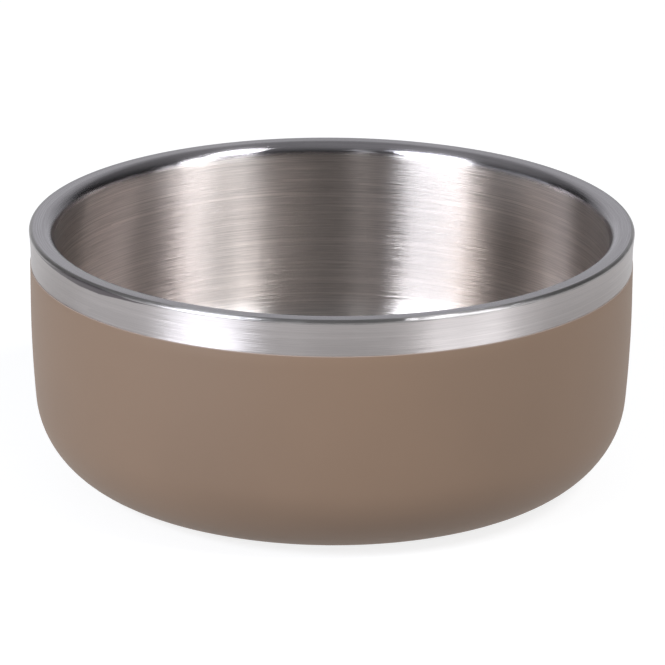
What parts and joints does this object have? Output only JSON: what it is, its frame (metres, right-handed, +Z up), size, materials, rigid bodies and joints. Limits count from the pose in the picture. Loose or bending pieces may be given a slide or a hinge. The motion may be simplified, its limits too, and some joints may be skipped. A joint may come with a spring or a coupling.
{
  "type": "pet bowl",
  "caption": "Round double-wall steel pet bowl with a wide flat lip, a bare band below it, a matt taupe powder-coated outside and a rubber foot ring.",
  "frame": {"origin": "middle of the foot ring's underside, on the surface that the bowl stands on", "axes": "+Z up along the bowl's axis, towards the mouth; +X to the right and +Y away from the viewer"},
  "size_m": [0.204, 0.204, 0.0874],
  "materials": {
    "liner_steel": "stainless sheet, brushed round the bowl",
    "shell_steel": "stainless sheet, satin brushed round the band",
    "weld_steel": "weld ground and polished to a round edge",
    "taupe_coat": "smooth matt powder coat",
    "foot_rubber": "matt moulded rubber",
    "adhesive": "cured adhesive bead",
    "plug_rubber": "matt moulded rubber"
  },
  "bodies": {
    "root": {"inner_bowl": "liner_steel", "outer_shell": "shell_steel", "rim_weld": "weld_steel", "powder_coat": "taupe_coat", "foot_ring": "foot_rubber", "ring_adhesive": "adhesive", "vent_plug": "plug_rubber"}
  },
  "joints": []
}
